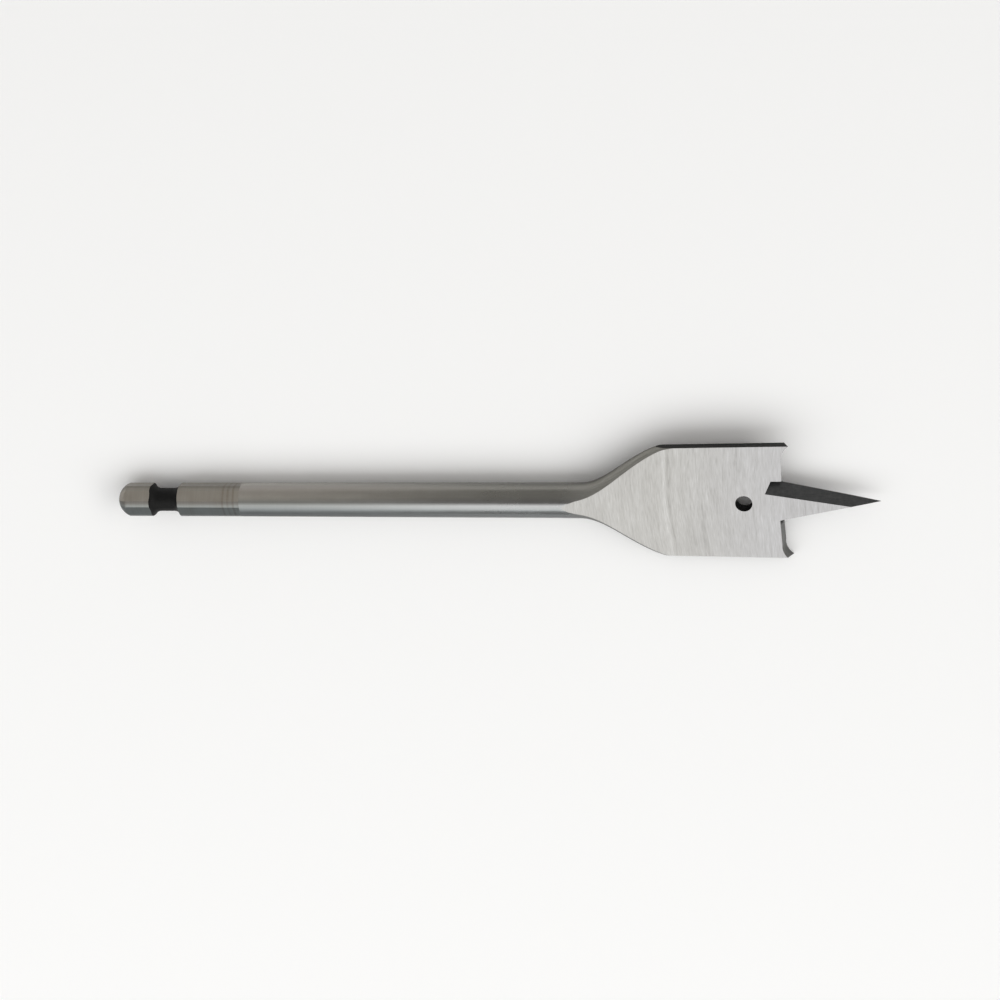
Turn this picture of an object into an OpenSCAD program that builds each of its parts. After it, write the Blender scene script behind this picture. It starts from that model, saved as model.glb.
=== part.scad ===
// Spade drill bit: one forged and ground bar with a hexagonal quick-change shank,
// a round shaft, a flared paddle blade with a long centre point and two corner spurs.
// Worked out along its own axis (x from the tail, y across the blade, z out of the
// ground front face), then laid on the floor as it comes to rest.

/* [Overall] */
// Overall length, from the tail to the tip of the point, mm
total_l = 152.4; // [148:0.2:158]
// Cutting width across the two spurs, mm
cut_w = 24.2; // [22:0.1:25.5]

/* [Shank] */
// Hexagon size across its flats, mm
hex_af = 6.35; // [6.3:0.05:6.4]
// Diameter of the round bar that the flats are ground on, mm
bar_d = 6.72; // [6.7:0.02:6.9]
// Length of the hexagonal shank, mm
hex_l = 26; // [24:0.5:30]
// Turn of the hexagon about the axis against the blade, degrees
hex_turn = 20.6; // [0:0.1:60]
// Radius of the domed tail, mm
tail_r = 3.6; // [3.5:0.01:3.8]
// Start of the retaining groove from the tail, mm
groove_x = 6.8; // [6.5:0.1:8]
// Diameter at the bottom of the retaining groove, mm
groove_d = 4.66; // [4.4:0.02:5]

/* [Shaft and flare] */
// Shaft diameter next to the flare, mm
shaft_d = 6.95; // [6.85:0.05:7.1]
// Distance from the tip back to where the forged flare starts, mm
flare_back = 57.7; // [56:0.1:60]
// Length of the forged flare, mm
flare_l = 22.2; // [20:0.1:23]

/* [Blade] */
// Thickness of the blade between its ground faces, mm
blade_t = 2.66; // [2.4:0.02:2.8]
// Slope of the ground ramp from the blade up to the shaft, degrees
ramp_a = 6.35; // [6:0.05:6.8]
// Back taper of each side of the blade, degrees
back_taper = 0.8; // [0:0.05:1]
// Side relief behind each leading edge, degrees
side_relief = 9; // [4:0.5:11]
// Radius of the small cross hole, mm
hole_r = 1.65; // [1.2:0.05:1.8]
// Distance from the tip back to the hole's centre, mm
hole_back = 25.95; // [24:0.05:28]

/* [Cutting end] */
// Distance from the tip back to the lips, mm
point_l = 18.85; // [17.5:0.05:19]
// Relief behind the lips and spurs, degrees
lip_relief = 10.6; // [6:0.2:12]
// Slope of each lip, rising towards its spur, degrees
lip_slope = 2.5; // [0:0.5:4]
// Radius of the hollow between the lip and its spur, mm
spur_r = 3.5; // [3.3:0.1:4]
// How far in from the side the hollow starts, mm
spur_w = 2.8; // [2.4:0.1:3]
// Half width of the point at its root, on the trailing face, mm
point_w = 3.53; // [3.4:0.01:3.6]
// Half angle of the point, degrees
point_a = 12.35; // [12.2:0.05:12.6]

/* [Hidden] */
$fn = 96;
t2 = blade_t / 2;
bar_r = bar_d / 2;
shaft_r = shaft_d / 2;
cut_r = cut_w / 2;
flare_x = total_l - flare_back;
hole_x = total_l - hole_back;
lip_x = total_l - point_l;
// where the ramp meets the parallel blade
ramp_x = flare_x + 0.737 * flare_l;
// forged size of the paddle before it is ground
forge_w = cut_r + 0.7;
forge_t = t2 + 0.22;
// lying on the floor: roll until one edge of the blade touches
roll = asin((shaft_r - t2 * cos(10.3)) / cut_r);
rings = 42;
segs = 48;

// share of the forging reached at x, 0 at the shaft and 1 at the blade
function share(x) = let (t = min(1, max(0, (x - flare_x) / flare_l)), u = t + 0.33 * t * (1 - t))
    (1 - cos(180 * u)) / 2;
function side_sign(c) = abs(c) < 0.0001 ? 0 : sign(c);
// radius of the round bar as it swells gently into the flare
function bar_at(x) = shaft_r + 0.025 * min(1, max(-4, (x - flare_x + 3.9)));
// one ring of the forging: a round bar pressed flat, with full round sides
function ring(x) = let (s = share(x), r0 = bar_at(x), r = r0 + (forge_t - r0) * s,
                        c = (forge_w - forge_t) * s)
    [for (i = [0:segs - 1]) let (a = 360 * i / segs)
        [x, side_sign(cos(a)) * c + r * cos(a), r * sin(a)]];

module forged_flare() {
    x0 = flare_x - 5.5;
    xs = [for (k = [0:rings - 1]) x0 + (flare_x + flare_l + 0.3 - x0) * k / (rings - 1)];
    polyhedron(
        points = [for (x = xs) each ring(x)],
        faces = concat(
            [[for (i = [0:segs - 1]) i]],
            [for (k = [0:rings - 2]) for (i = [0:segs - 1]) let (j = (i + 1) % segs)
                each [[k * segs + i, (k + 1) * segs + i, (k + 1) * segs + j],
                      [k * segs + i, (k + 1) * segs + j, k * segs + j]]],
            [[for (i = [segs - 1:-1:0]) (rings - 1) * segs + i]]),
        convexity = 4);
}

// solid of revolution about the tool's axis, from points [x, r]
module along_x() { rotate([90, 0, 90]) children(); }

module hex_shank() {
    difference() {
        intersection() {
            along_x() rotate([0, 0, hex_turn]) cylinder(h = hex_l, r = hex_af / sqrt(3), $fn = 6);
            along_x() cylinder(h = hex_l, r = bar_r);
            union() {
                translate([tail_r - 0.18, 0, 0]) sphere(r = tail_r);
                translate([tail_r - 0.18, 0, 0]) along_x() cylinder(h = hex_l, r = bar_r + 1);
            }
        }
        retaining_groove();
    }
}

module retaining_groove() {
    gr = groove_d / 2;
    rotate([90, 0, 90]) rotate_extrude() difference() {
        // a flat floor between two hollow shoulders
        translate([gr, groove_x]) square([bar_r + 0.6 - gr, 6.5]);
        difference() {
            translate([gr - 0.5, groove_x + 4.7]) square([3, 3]);
            translate([gr + 1.7, groove_x + 4.7]) circle(r = 1.7);
        }
        difference() {
            translate([gr - 0.5, groove_x - 1.1]) square([3, 3]);
            translate([gr + 1.85, groove_x + 1.9]) circle(r = 1.85);
        }
    }
}

module round_shaft() {
    // the flats run out on the hollow that the grinding wheel leaves
    step = bar_r - hex_af / 2 + 0.045;
    back = sqrt(4 * step - step * step);
    rotate([90, 0, 90]) rotate_extrude() difference() {
        translate([0, hex_l - back]) square([bar_r + 0.2, back]);
        translate([hex_af / 2 + 1.95, hex_l - back]) circle(r = 2);
    }
    translate([hex_l, 0, 0]) along_x()
        cylinder(h = flare_x - 3.5 - hex_l, r1 = bar_r + 0.01, r2 = shaft_r);
}

// everything outside the ground faces, seen from the side
module ground_profile() {
    rise = (ramp_x - (flare_x - 6)) * tan(ramp_a);
    translate([0, 20, 0]) rotate([90, 0, 0]) linear_extrude(height = 40)
        polygon([[flare_x - 6, -t2 - rise], [ramp_x, -t2], [total_l + 1, -t2],
                 [total_l + 1, t2], [ramp_x, t2], [flare_x - 6, t2 + rise]]);
}

module paddle() {
    intersection() {
        union() {
            forged_flare();
            translate([flare_x + flare_l - 0.1, -forge_w + 0.3, -t2 - 1])
                cube([total_l - flare_x - flare_l + 0.1, 2 * forge_w - 0.6, 2 * t2 + 2]);
        }
        ground_profile();
    }
}

// stock outside one side of the blade, undercut towards the trailing face
module side_stock() {
    translate([lip_x, cut_r, t2]) rotate([0, 0, back_taper]) rotate([-side_relief, 0, 0])
        translate([-26, 0, -6]) cube([50, 8, 8]);
}

// stock beyond one lip and its spur, leaning back by the relief angle
module end_stock() {
    w = cut_r - spur_w;
    x = w * tan(lip_slope);
    intersection() {
        translate([lip_x, 0, t2]) rotate([0, lip_relief, 0]) translate([0, 0, -8])
            linear_extrude(height = 12) {
                polygon([[0, 0], [x, w], [30, w], [30, 0]]);
                translate([x + spur_r - 0.06, w]) circle(r = spur_r);
                translate([x + spur_r, w - 0.5]) square([30, 9]);
            }
        flank_side();
    }
}

// the outside of one flank of the point
module flank_side() {
    // the plane of each flank passes through the tip, so its lean follows from the taper
    lean = atan((point_l * tan(point_a) - point_w) * cos(point_a) / t2);
    translate([lip_x, point_w, -t2]) rotate([0, 0, -point_a]) rotate([-lean, 0, 0])
        translate([-12, 0, -8]) cube([50, 30, 24]);
}

// hollow ground along the leading side of the point: a sloping face that runs out
// at the tip, a flat floor where it enters the blade, and a steep far wall
module flute() {
    // the far wall runs along the axis, level with the root of the point's flank
    far = 2 * point_l * tan(point_a) - point_w + 0.03;
    fa = 9.4;
    v0 = 2.05;
    run = 3;
    // width of the sloping face at the tip, where it has dropped to the middle plane
    vt = (run + point_l) * sin(fa) - v0 * cos(fa);
    slope = (t2 - 0.01) / vt;
    depth = min(2.08, blade_t - 0.58);
    intersection() {
        translate([lip_x - run, v0, t2]) rotate([0, 0, -fa]) intersection() {
            rotate([90, 0, 90]) translate([0, 0, -3]) linear_extrude(height = 30)
                polygon([[-0.6, 0.6 * slope], [0, 0], [depth / slope, -depth], [9, -depth], [9, 3],
                         [-0.6, 3]]);
            rotate([0, 0, -14.6]) translate([0, -6, -5]) cube([40, 20, 12]);
        }
        translate([lip_x - run - 5, far - 20, -8]) cube([40, 20, 16]);
    }
}

module half_cuts() {
    side_stock();
    end_stock();
    flute();
}

module upright_bit() {
    difference() {
        union() {
            hex_shank();
            round_shaft();
            paddle();
        }
        half_cuts();
        rotate([180, 0, 0]) half_cuts();
        translate([hole_x, 0, -5]) cylinder(h = 10, r = hole_r);
    }
}

module spade_bit() {
    color([0.62, 0.61, 0.58])
        translate([-total_l / 2, 0, shaft_r]) rotate([roll, 0, 0]) upright_bit();
}

spade_bit();
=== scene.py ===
import math

import bmesh
import bpy
from mathutils import Matrix, Vector


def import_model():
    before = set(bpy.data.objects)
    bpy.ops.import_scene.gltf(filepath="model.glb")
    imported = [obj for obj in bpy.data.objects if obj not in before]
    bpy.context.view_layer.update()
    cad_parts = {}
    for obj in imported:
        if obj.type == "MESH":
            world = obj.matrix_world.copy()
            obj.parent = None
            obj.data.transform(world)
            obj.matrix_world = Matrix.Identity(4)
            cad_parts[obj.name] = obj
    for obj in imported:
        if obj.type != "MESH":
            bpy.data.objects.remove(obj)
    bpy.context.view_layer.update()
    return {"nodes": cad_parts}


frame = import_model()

# ---------------------------------------------------------------- the bit's own coordinates
# x from the tail, w across the blade, h out of the ground front face, all in mm.
L = 152.4
AXIS_Z = 3.475
T2 = 1.33
ROLL = math.asin((AXIS_Z - T2 * math.cos(math.radians(10.3))) / 12.1)
CR, SR = math.cos(ROLL), math.sin(ROLL)


def local(p):
    """Row frame, metres, to (x, w, h), mm."""
    x = p[0] * 1000 + L / 2
    y = p[1] * 1000
    z = p[2] * 1000 - AXIS_Z
    return x, y * CR + z * SR, -y * SR + z * CR


def world(x, w, h):
    return Vector(((x - L / 2) / 1000, (w * CR - h * SR) / 1000, (AXIS_Z + w * SR + h * CR) / 1000))


# ---------------------------------------------------------------- camera
# The view was fitted to the photo's outline: 12.3 degrees towards the tip, and the blade's
# front face leans 27.4 degrees away from the view.
TAU = math.radians(27.4034)
YAW = math.radians(12.2766)
VIEW_ROLL = math.radians(-0.1303)
DIST = 458.69
FOCAL = 2345.0
SEEN_X = 78.597
LIFT = 0.0176

lean = TAU - ROLL
V = Vector((0, math.sin(lean), math.cos(lean)))
U = Vector((0, math.cos(lean), -math.sin(lean)))
X = Vector((1, 0, 0))
toward = X * math.sin(YAW) + V * math.cos(YAW)
right0 = X * math.cos(YAW) - V * math.sin(YAW)
right = right0 * math.cos(VIEW_ROLL) - U * math.sin(VIEW_ROLL)
up = right0 * math.sin(VIEW_ROLL) + U * math.cos(VIEW_ROLL)
place = world(SEEN_X, 0, 0) + (toward * DIST + U * LIFT) / 1000

cam_data = bpy.data.cameras.new("camera")
cam = bpy.data.objects.new("camera", cam_data)
bpy.context.scene.collection.objects.link(cam)
cam_data.sensor_width = 36
cam_data.lens = FOCAL / 1000 * 36
cam_data.clip_start = 0.01
cam_data.clip_end = 50
cam_data.dof.use_dof = False
cam.matrix_world = Matrix((
    (right.x, up.x, toward.x, place.x),
    (right.y, up.y, toward.y, place.y),
    (right.z, up.z, toward.z, place.z),
    (0, 0, 0, 1),
))
bpy.context.scene.camera = cam

# ---------------------------------------------------------------- node helpers


class Graph:
    def __init__(self, name):
        self.mat = bpy.data.materials.new(name)
        self.mat.use_nodes = True
        self.t = self.mat.node_tree
        self.t.nodes.clear()
        self.out = self.t.nodes.new("ShaderNodeOutputMaterial")
        self.bsdf = self.t.nodes.new("ShaderNodeBsdfPrincipled")
        self.t.links.new(self.bsdf.outputs[0], self.out.inputs[0])

    def put(self, sock, val):
        if isinstance(val, bpy.types.NodeSocket):
            self.t.links.new(val, sock)
        else:
            sock.default_value = val

    def node(self, kind, **props):
        n = self.t.nodes.new(kind)
        for k, v in props.items():
            setattr(n, k, v)
        return n

    def math(self, op, a, b=0.0, c=0.0, clamp=False):
        n = self.node("ShaderNodeMath", operation=op, use_clamp=clamp)
        for i, v in enumerate((a, b, c)):
            self.put(n.inputs[i], v)
        return n.outputs[0]

    def bit_coords(self):
        """(x, w, h) in mm from the row frame."""
        tc = self.node("ShaderNodeTexCoord")
        sub = self.node("ShaderNodeVectorMath", operation="SUBTRACT")
        self.put(sub.inputs[0], tc.outputs["Object"])
        sub.inputs[1].default_value = (-L / 2000, 0, AXIS_Z / 1000)
        rot = self.node("ShaderNodeVectorRotate", rotation_type="AXIS_ANGLE")
        self.put(rot.inputs["Vector"], sub.outputs[0])
        rot.inputs["Axis"].default_value = (1, 0, 0)
        rot.inputs["Angle"].default_value = -ROLL
        mul = self.node("ShaderNodeVectorMath", operation="SCALE")
        self.put(mul.inputs[0], rot.outputs[0])
        mul.inputs["Scale"].default_value = 1000
        sep = self.node("ShaderNodeSeparateXYZ")
        self.put(sep.inputs[0], mul.outputs[0])
        return sep.outputs[0], sep.outputs[1], sep.outputs[2]

    def facing(self):
        """Degrees that a surface leans from the blade's own normal towards its left side."""
        tc = self.node("ShaderNodeTexCoord")
        sep = self.node("ShaderNodeSeparateXYZ")
        self.put(sep.inputs[0], tc.outputs["Normal"])
        lean = self.math("DEGREES", self.math("ARCTAN2", sep.outputs[1], sep.outputs[2]))
        return self.math("ADD", lean, math.degrees(ROLL))

    def painted_light(self, psi, stops):
        """Painted highlights, reflections and shade: a tint that changes round the axis; stops are (degrees,
        colour), twice the tint is one.
        """
        v = self.remap(psi, -170.0, 190.0, 0.0, 1.0)
        back = [(-169, (0.78, 0.78, 0.76)), (189, (0.78, 0.78, 0.76))]
        stops = sorted(stops + back)
        return self.ramp(v, [((a + 170) / 360, tuple(c / 2 for c in col)) for a, col in stops])

    def times(self, a, b):
        n = self.node("ShaderNodeVectorMath", operation="MULTIPLY")
        self.put(n.inputs[0], a)
        self.put(n.inputs[1], b)
        return self.scaled(n.outputs[0], 2.0)

    def scaled(self, col, k):
        n = self.node("ShaderNodeVectorMath", operation="SCALE")
        self.put(n.inputs[0], col)
        self.put(n.inputs["Scale"], k)
        return n.outputs[0]

    def vec(self, a, b, c):
        n = self.node("ShaderNodeCombineXYZ")
        for i, v in enumerate((a, b, c)):
            self.put(n.inputs[i], v)
        return n.outputs[0]

    def noise(self, vector, scale=1.0, detail=2.0, rough=0.5, distortion=0.0):
        n = self.node("ShaderNodeTexNoise", noise_dimensions="3D")
        self.put(n.inputs["Vector"], vector)
        n.inputs["Scale"].default_value = scale
        n.inputs["Detail"].default_value = detail
        n.inputs["Roughness"].default_value = rough
        n.inputs["Distortion"].default_value = distortion
        return n.outputs[0]

    def remap(self, v, a, b, c, d, smooth=False):
        n = self.node("ShaderNodeMapRange", clamp=True)
        n.interpolation_type = "SMOOTHSTEP" if smooth else "LINEAR"
        self.put(n.inputs[0], v)
        for i, x in enumerate((a, b, c, d)):
            self.put(n.inputs[1 + i], x)
        return n.outputs[0]

    def ramp(self, v, stops):
        n = self.node("ShaderNodeValToRGB")
        e = n.color_ramp.elements
        while len(e) > len(stops):
            e.remove(e[-1])
        while len(e) < len(stops):
            e.new(1)
        for k, (pos, col) in zip(e, stops):
            k.position = pos
            k.color = (*col, 1)
        self.put(n.inputs[0], v)
        return n.outputs[0]

    def mix(self, f, a, b, kind="MIX"):
        n = self.node("ShaderNodeMix", data_type="RGBA", blend_type=kind)
        self.put(n.inputs[0], f)
        self.put(n.inputs[6], a)
        self.put(n.inputs[7], b)
        return n.outputs[2]

    def mix_value(self, f, a, b):
        return self.math("ADD", self.math("MULTIPLY", a, self.math("SUBTRACT", 1.0, f)), self.math("MULTIPLY", b, f))

    def bump(self, height, strength, dist, normal=None):
        n = self.node("ShaderNodeBump")
        n.inputs["Strength"].default_value = strength
        n.inputs["Distance"].default_value = dist
        self.put(n.inputs["Height"], height)
        if normal is not None:
            self.put(n.inputs["Normal"], normal)
        return n.outputs[0]


def grey(v, warm=0.0):
    return (v * (1 + warm), v, v * (1 - 1.6 * warm), 1)


# ---------------------------------------------------------------- materials
# painted highlights, reflections and shade: tints round the axis, by the degrees that the surface leans to the left
# of the blade's normal
SHANK_PAINTED_LIGHT = [(-40, (0.36, 0.39, 0.41)), (-24, (0.38, 0.42, 0.44)), (-8, (0.70, 0.76, 0.79)),
              (6, (0.86, 0.9, 0.91)), (18, (0.50, 0.51, 0.49)), (36, (1.07, 1.03, 0.96)),
              (60, (1.03, 0.98, 0.93)), (76, (0.92, 0.89, 0.87)), (92, (1.02, 1.0, 0.98))]
SHAFT_PAINTED_LIGHT = [(-40, (0.31, 0.33, 0.35)), (-24, (0.63, 0.68, 0.71)), (-8, (0.76, 0.81, 0.84)),
              (7, (0.91, 0.93, 0.96)), (18, (0.45, 0.45, 0.46)), (38, (0.60, 0.60, 0.57)),
              (62, (0.64, 0.64, 0.61)), (88, (0.38, 0.38, 0.36))]
FLARE_PAINTED_LIGHT = [(-38, (0.7, 0.72, 0.74)), (-22, (1, 1, 1)), (66, (1, 1, 0.98)), (80, (0.82, 0.81, 0.78)),
              (92, (0.4, 0.4, 0.39)), (125, (0.8, 0.8, 0.78))]
HEX_PAINTED_LIGHT = [(-40, (0.27, 0.31, 0.33)), (-22, (0.35, 0.4, 0.43)), (-8, (0.3, 0.34, 0.37)),
            (3, (0.54, 0.58, 0.6)), (12, (0.44, 0.44, 0.44)), (18, (0.46, 0.45, 0.44)), (22, (0.96, 0.93, 0.88)),
            (56, (0.95, 0.91, 0.87)), (62, (0.74, 0.72, 0.69)), (74, (0.42, 0.41, 0.39)),
            (90, (0.6, 0.59, 0.58))]


def bar_steel():
    """Drawn bar, warm and satin at the shank and polished towards the blade, where it passes
    into the forged sides of the flare."""
    g = Graph("bar_steel")
    x, w, h = g.bit_coords()
    # fine polishing lines along the bar
    ang = g.math("ARCTAN2", w, h)
    lines = g.noise(g.vec(g.math("MULTIPLY", x, 0.05), g.math("MULTIPLY", ang, 26.0), 0.3), 1.0, 3.0, 0.6)
    mott = g.noise(g.vec(g.math("MULTIPLY", x, 0.25), g.math("MULTIPLY", ang, 3.0), 1.7), 1.0, 3.0, 0.55)
    rings = g.noise(g.vec(g.math("MULTIPLY", x, 2.6), g.math("MULTIPLY", ang, 0.4), 5.2), 1.0, 3.0, 0.6)
    specks = g.noise(g.vec(x, w, h), 2.2, 3.0, 0.6)
    along = g.remap(x, 24.0, 90.0, 0.0, 1.0, True)
    flare = g.remap(x, 91.0, 99.0, 0.0, 1.0, True)
    # streaks that follow the outline of the flare
    t = g.remap(x, 94.7, 116.9, 0.0, 1.0, True)
    rel = g.math("SUBTRACT", g.math("ABSOLUTE", w), g.math("MULTIPLY", t, 9.8))
    streak = g.noise(g.vec(g.math("MULTIPLY", x, 0.22), g.math("MULTIPLY", rel, 3.2), g.math("MULTIPLY", h, 3.2)),
                     1.0, 3.0, 0.6)
    v = g.math("ADD", g.math("MULTIPLY", g.math("SUBTRACT", lines, 0.5), 0.18),
               g.math("MULTIPLY", g.math("SUBTRACT", mott, 0.5), 0.28))
    v = g.math("ADD", v, g.math("MULTIPLY", g.math("SUBTRACT", rings, 0.5), 0.07))
    v = g.math("ADD", v, g.math("MULTIPLY", g.math("SUBTRACT", specks, 0.5), 0.10))
    v = g.math("ADD", v, 0.5)
    col = g.ramp(v, [(0.25, (0.33, 0.32, 0.303)), (0.5, (0.41, 0.402, 0.388)), (0.75, (0.49, 0.485, 0.475))])
    f = g.math("ADD", 0.5, g.math("MULTIPLY", g.math("SUBTRACT", streak, 0.5), 0.6))
    f = g.math("ADD", f, g.math("MULTIPLY", g.math("SUBTRACT", specks, 0.5), 0.2))
    fcol = g.ramp(f, [(0.2, (0.20, 0.194, 0.178)), (0.5, (0.30, 0.294, 0.274)), (0.8, (0.42, 0.415, 0.395))])
    # painted highlights, reflections and shade round the axis, warm on one side and bluish on the other
    psi = g.facing()
    painted_light = g.mix(along, g.painted_light(psi, SHANK_PAINTED_LIGHT), g.painted_light(psi, SHAFT_PAINTED_LIGHT))
    painted_light = g.mix(flare, painted_light, g.painted_light(psi, FLARE_PAINTED_LIGHT))
    g.put(g.bsdf.inputs["Base Color"], g.times(g.mix(flare, col, fcol), painted_light))
    g.bsdf.inputs["Metallic"].default_value = 1.0
    r = g.math("ADD", g.remap(along, 0.0, 1.0, 0.56, 0.26), g.math("MULTIPLY", g.math("SUBTRACT", mott, 0.5), 0.14))
    r = g.math("ADD", r, g.math("MULTIPLY", flare, 0.26))
    g.put(g.bsdf.inputs["Roughness"], r)
    n = g.bump(lines, 0.25, 0.00002, g.bump(rings, 0.12, 0.00003))
    g.put(g.bsdf.inputs["Normal"], g.bump(g.math("MULTIPLY", streak, flare), 0.2, 0.00003, n))
    return g.mat


def hex_steel():
    """Milled flats: satin warm grey with a few crosswise chatter marks near their end."""
    g = Graph("hex_steel")
    x, w, h = g.bit_coords()
    cross = g.noise(g.vec(g.math("MULTIPLY", x, 3.2), g.math("MULTIPLY", w, 0.12), g.math("MULTIPLY", h, 0.12)), 1.0, 3.0, 0.6)
    fine = g.noise(g.vec(g.math("MULTIPLY", x, 11.0), g.math("MULTIPLY", w, 0.4), g.math("MULTIPLY", h, 0.4)), 1.0, 2.0, 0.5)
    mott = g.noise(g.vec(x, w, h), 0.35, 3.0, 0.6)
    v = g.math("ADD", 0.5, g.math("MULTIPLY", g.math("SUBTRACT", cross, 0.5), 0.22))
    v = g.math("ADD", v, g.math("MULTIPLY", g.math("SUBTRACT", mott, 0.5), 0.25))
    v = g.math("ADD", v, g.math("MULTIPLY", g.math("SUBTRACT", fine, 0.5), 0.08))
    # chatter: three brownish stripes just before the flats end
    for cx in (22.6, 23.7, 24.8):
        d = g.math("ABSOLUTE", g.math("SUBTRACT", x, cx))
        s = g.remap(d, 0.12, 0.36, 0.16, 0.0, True)
        v = g.math("SUBTRACT", v, s)
    col = g.ramp(v, [(0.2, (0.30, 0.262, 0.222)), (0.42, (0.41, 0.39, 0.355)), (0.55, (0.46, 0.445, 0.415)), (0.8, (0.54, 0.53, 0.51))])
    # the corners are turned smooth; their dark and bright bands and the flats' brightness are painted highlights,
    # reflections and shade round the axis
    psi = g.facing()
    # painted shade: the dome darkens where it faces back along the bit
    tc = g.node("ShaderNodeTexCoord")
    sep = g.node("ShaderNodeSeparateXYZ")
    g.put(sep.inputs[0], tc.outputs["Normal"])
    dome_painted_shade = g.remap(sep.outputs[0], -0.9, -0.35, 0.45, 1.0)
    g.put(g.bsdf.inputs["Base Color"], g.scaled(g.times(col, g.painted_light(psi, HEX_PAINTED_LIGHT)), dome_painted_shade))
    g.bsdf.inputs["Metallic"].default_value = 1.0
    r = g.math("ADD", 0.44, g.math("MULTIPLY", g.math("SUBTRACT", mott, 0.5), 0.12))
    g.put(g.bsdf.inputs["Roughness"], r)
    g.put(g.bsdf.inputs["Normal"], g.bump(fine, 0.25, 0.00003, g.bump(cross, 0.25, 0.00006)))
    return g.mat


def ground_steel():
    """Blade faces: bright, with bowed lines left by the grinding wheel across the blade."""
    g = Graph("ground_steel")
    x, w, h = g.bit_coords()
    bow = g.math("ADD", g.math("MULTIPLY", g.math("MULTIPLY", w, w), 0.0068), g.math("MULTIPLY", w, -0.035))
    # the lines straighten out on the parallel part
    bow = g.math("MULTIPLY", bow, g.remap(x, 104.0, 122.0, 1.0, 0.45, True))
    u = g.math("SUBTRACT", x, bow)
    side = g.math("MULTIPLY", g.math("SIGN", h), 7.3)
    wobble = g.noise(g.vec(g.math("MULTIPLY", x, 0.15), g.math("MULTIPLY", w, 0.2), side), 1.0, 1.0, 0.5)
    u = g.math("ADD", u, g.math("MULTIPLY", wobble, 0.35))
    fine = g.noise(g.vec(g.math("MULTIPLY", u, 8.0), g.math("MULTIPLY", w, 0.5), side), 1.0, 2.0, 0.6)
    mid = g.noise(g.vec(g.math("MULTIPLY", u, 3.0), g.math("MULTIPLY", w, 0.3), side), 1.0, 2.0, 0.55)
    broad = g.noise(g.vec(g.math("MULTIPLY", u, 0.5), g.math("MULTIPLY", w, 0.06), side), 1.0, 2.0, 0.5)
    deep = g.noise(g.vec(g.math("MULTIPLY", u, 1.3), g.math("MULTIPLY", w, 0.05), g.math("ADD", side, 3.1)), 1.0, 1.0, 0.5)
    scratch = g.remap(deep, 0.62, 0.70, 0.0, 1.0, True)
    # painted highlight along the crease where the ramp meets the parallel blade
    crease_painted_highlight = g.remap(g.math("ABSOLUTE", g.math("SUBTRACT", u, 111.5)), 0.1, 0.55, 1.0, 0.0, True)
    v = g.math("ADD", 0.5, g.math("MULTIPLY", g.math("SUBTRACT", fine, 0.5), 0.74))
    v = g.math("ADD", v, g.math("MULTIPLY", g.math("SUBTRACT", mid, 0.5), 0.58))
    v = g.math("ADD", v, g.math("MULTIPLY", g.math("SUBTRACT", broad, 0.5), 0.35))
    v = g.math("SUBTRACT", v, g.math("MULTIPLY", scratch, 0.12))
    v = g.math("ADD", v, g.math("MULTIPLY", crease_painted_highlight, 0.15))
    # painted shade: a darker line just past the crease
    crease_painted_shade = g.remap(g.math("ABSOLUTE", g.math("SUBTRACT", u, 112.3)), 0.1, 0.4, 1.0, 0.0, True)
    v = g.math("SUBTRACT", v, g.math("MULTIPLY", crease_painted_shade, 0.13))
    col = g.ramp(v, [(0.1, (0.29, 0.286, 0.275)), (0.42, (0.405, 0.40, 0.389)), (0.6, (0.455, 0.451, 0.442)), (0.95, (0.60, 0.60, 0.595))])
    # the part towards the tip is a little cooler
    cool = g.remap(x, 108.0, 136.0, 0.0, 1.0, True)
    col = g.mix(cool, g.mix(1.0, col, (0.925, 0.917, 0.902, 1), "MULTIPLY"), g.mix(1.0, col, (0.905, 0.902, 0.925, 1), "MULTIPLY"))
    g.put(g.bsdf.inputs["Base Color"], col)
    g.bsdf.inputs["Metallic"].default_value = 1.0
    r = g.math("ADD", 0.38, g.math("MULTIPLY", g.math("SUBTRACT", mid, 0.5), 0.22))
    g.put(g.bsdf.inputs["Roughness"], r)
    g.put(g.bsdf.inputs["Normal"], g.bump(fine, 0.3, 0.00003, g.bump(mid, 0.35, 0.00008)))
    return g.mat


def painted_shade_steel(name, lo, hi, rough, metallic, tint=(1, 1, 1), spec=0.5):
    """Painted shade: dark colours that stand in for shade and dark reflections, for the groove, the hole's wall, the
    sides of the blade, the flutes and the relief strips.
    """
    g = Graph(name)
    x, w, h = g.bit_coords()
    s = g.noise(g.vec(g.math("MULTIPLY", x, 0.9), g.math("MULTIPLY", w, 4.0), g.math("MULTIPLY", h, 4.0)), 1.0, 3.0, 0.6)
    mott = g.noise(g.vec(x, w, h), 1.4, 4.0, 0.65)
    v = g.math("ADD", 0.5, g.math("MULTIPLY", g.math("SUBTRACT", s, 0.5), 0.4))
    v = g.math("ADD", v, g.math("MULTIPLY", g.math("SUBTRACT", mott, 0.5), 0.5))
    a = tuple(lo * k for k in tint)
    b = tuple(hi * k for k in tint)
    g.put(g.bsdf.inputs["Base Color"], g.ramp(v, [(0.25, a), (0.75, b)]))
    g.bsdf.inputs["Metallic"].default_value = metallic
    g.bsdf.inputs["Specular IOR Level"].default_value = spec
    g.put(g.bsdf.inputs["Roughness"], g.math("ADD", rough, g.math("MULTIPLY", g.math("SUBTRACT", mott, 0.5), 0.2)))
    g.put(g.bsdf.inputs["Normal"], g.bump(mott, 0.35, 0.00004, g.bump(s, 0.3, 0.00004)))
    return g.mat


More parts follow.
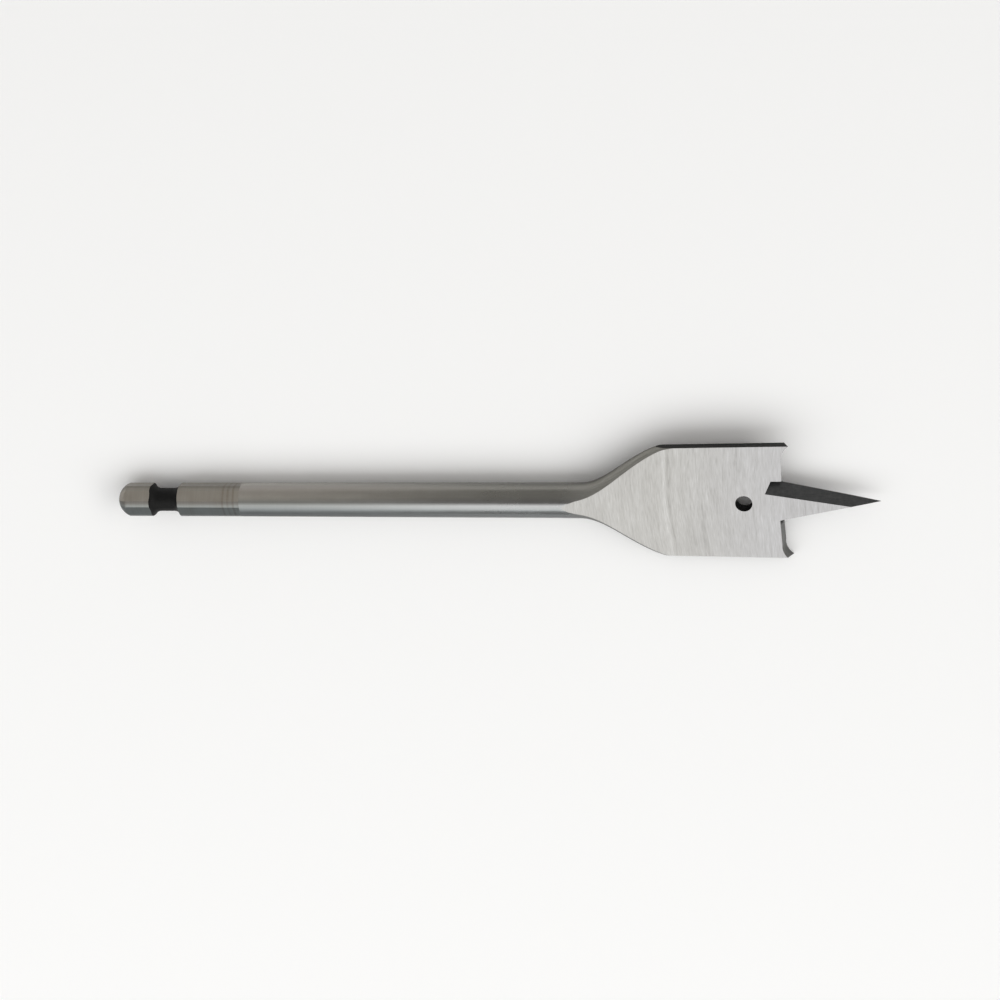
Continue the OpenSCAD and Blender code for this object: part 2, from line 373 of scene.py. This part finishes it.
MATS = {
    "bar": bar_steel(),
    "hex": hex_steel(),
    "ground": ground_steel(),
    # painted shade: the groove, side, flute and relief finishes are dark colours standing in for shade and dark
    # reflections
    "groove": painted_shade_steel("groove_painted_shade", 0.005, 0.014, 0.5, 0.0, (1.0, 1.0, 0.97), 0.1),
    "edge": painted_shade_steel("side_painted_shade", 0.006, 0.016, 0.55, 0.0, (1.02, 1.0, 0.97), 0.07),
    "flute": painted_shade_steel("flute_painted_shade", 0.061, 0.132, 0.34, 0.9, (0.98, 1.0, 1.01)),
    "relief": painted_shade_steel("relief_painted_shade", 0.085, 0.15, 0.36, 1.0, (1.0, 1.0, 0.95)),
}
ORDER = list(MATS)

# ---------------------------------------------------------------- the CAD node's finish
bit = frame["nodes"]["spade_bit"]
me = bit.data
me.materials.clear()
for k in ORDER:
    me.materials.append(MATS[k])


def region(c, n):
    """Which finish a face has, from its middle and normal in the bit's coordinates."""
    x, w, h = c
    nx, nw, nh = n
    if x < 26.3:
        if 6.3 < x < 14.0 and (math.hypot(w, h) < 3.1 or abs(nx) > 0.12):
            return "groove"
        return "hex"
    if x < 88:
        return "bar"
    # painted shade: the hole's wall takes the near-black groove finish
    if math.hypot(x - 126.45, w) < 1.8 and abs(nh) < 0.3:
        return "groove"
    if abs(nh) > 0.985 and abs(abs(h) - 1.33 - max(0, 111.06 - x) * 0.11128) < 0.03:
        return "ground"
    lip = 133.55 + 0.0437 * abs(w)
    if abs(nw) > 0.95 and abs(w) > 10.8 and x > 108:
        return "edge"
    if x < lip - 4.2:
        return "bar"
    if abs(nx) > 0.6 or abs(w) > 8.5:
        return "relief"
    return "flute"


for p in me.polygons:
    c = local(p.center)
    nn = p.normal
    n = (nn[0], nn[1] * CR + nn[2] * SR, -nn[1] * SR + nn[2] * CR)
    p.material_index = ORDER.index(region(c, n))
    p.use_smooth = True
if me.has_custom_normals:
    bpy.context.view_layer.objects.active = bit
    with bpy.context.temp_override(object=bit, active_object=bit):
        bpy.ops.mesh.customdata_custom_splitnormals_clear()

weld = bit.modifiers.new("weld", "WELD")
weld.merge_threshold = 0.00002
flat = bit.modifiers.new("flat", "DECIMATE")
flat.decimate_type = "DISSOLVE"
flat.angle_limit = math.radians(0.6)
flat.delimit = {"MATERIAL"}
bev = bit.modifiers.new("bevel", "BEVEL")
bev.width = 0.00006
bev.segments = 2
bev.limit_method = "ANGLE"
bev.angle_limit = math.radians(16)
bev.harden_normals = True
bev.use_clamp_overlap = True

# ---------------------------------------------------------------- floor
floor_me = bpy.data.meshes.new("floor")
bm = bmesh.new()
bmesh.ops.create_grid(bm, x_segments=2, y_segments=2, size=3.0)
bm.to_mesh(floor_me)
bm.free()
floor = bpy.data.objects.new("floor", floor_me)
floor.location = (0, 0, -0.00002)
bpy.context.scene.collection.objects.link(floor)
g = Graph("floor_pale")
g.bsdf.inputs["Base Color"].default_value = (0.96, 0.96, 0.96, 1)
g.bsdf.inputs["Roughness"].default_value = 0.9
g.bsdf.inputs["Specular IOR Level"].default_value = 0.1
floor_me.materials.append(g.mat)

# ---------------------------------------------------------------- light
world_ = bpy.data.worlds.new("studio")
bpy.context.scene.world = world_
world_.use_nodes = True
wt = world_.node_tree
wt.nodes.clear()
wout = wt.nodes.new("ShaderNodeOutputWorld")
bg = wt.nodes.new("ShaderNodeBackground")
wt.links.new(bg.outputs[0], wout.inputs[0])
# dim all round, with a white wall beyond the tip
gen = wt.nodes.new("ShaderNodeTexCoord")
sep = wt.nodes.new("ShaderNodeSeparateXYZ")
wt.links.new(gen.outputs["Generated"], sep.inputs[0])
wall = wt.nodes.new("ShaderNodeMapRange")
wall.interpolation_type = "SMOOTHSTEP"
wt.links.new(sep.outputs[0], wall.inputs[0])
for i, x in enumerate((0.62, 0.86, 0.0, 4.5)):
    wall.inputs[1 + i].default_value = x
# the wall stands on a low dark shelf
shelf = wt.nodes.new("ShaderNodeMapRange")
shelf.interpolation_type = "SMOOTHSTEP"
wt.links.new(sep.outputs[2], shelf.inputs[0])
for i, x in enumerate((0.30, 0.66, 0.0, 1.0)):
    shelf.inputs[1 + i].default_value = x
both = wt.nodes.new("ShaderNodeMath")
both.operation = "MULTIPLY_ADD"
wt.links.new(wall.outputs[0], both.inputs[0])
wt.links.new(shelf.outputs[0], both.inputs[1])
both.inputs[2].default_value = 0.43
wt.links.new(both.outputs[0], bg.inputs[1])
bg.inputs[0].default_value = (1.0, 0.985, 0.96, 1)


def panel(name, direction, dist, size_x, size_y, power, color=(1, 1, 1)):
    """A soft panel aimed at the bit from a direction."""
    ld = bpy.data.lights.new(name, "AREA")
    ld.shape = "RECTANGLE"
    ld.size = size_x
    ld.size_y = size_y
    ld.energy = power
    ld.color = color
    ob = bpy.data.objects.new(name, ld)
    d = Vector(direction).normalized()
    ob.location = d * dist + Vector((0.01, 0, 0.003))
    # long side along the bit
    z = d
    x = (X - z * X.dot(z)).normalized()
    y = z.cross(x)
    ob.rotation_mode = "QUATERNION"
    ob.rotation_quaternion = Matrix((
        (x.x, y.x, z.x), (x.y, y.y, z.y), (x.z, y.z, z.z))).to_quaternion()
    bpy.context.scene.collection.objects.link(ob)
    return ob


def turn(deg):
    """Direction at this angle from the view, positive towards the top of the picture."""
    a = math.radians(deg)
    return V * math.cos(a) + U * math.sin(a)


panel("key_panel", turn(-50), 0.9, 4.0, 0.80, 12.4, (0.985, 0.995, 1.0))

sc = bpy.context.scene
sc.view_settings.view_transform = "Standard"
sc.view_settings.look = "None"
sc.view_settings.exposure = 0.0
sc.view_settings.gamma = 1.0
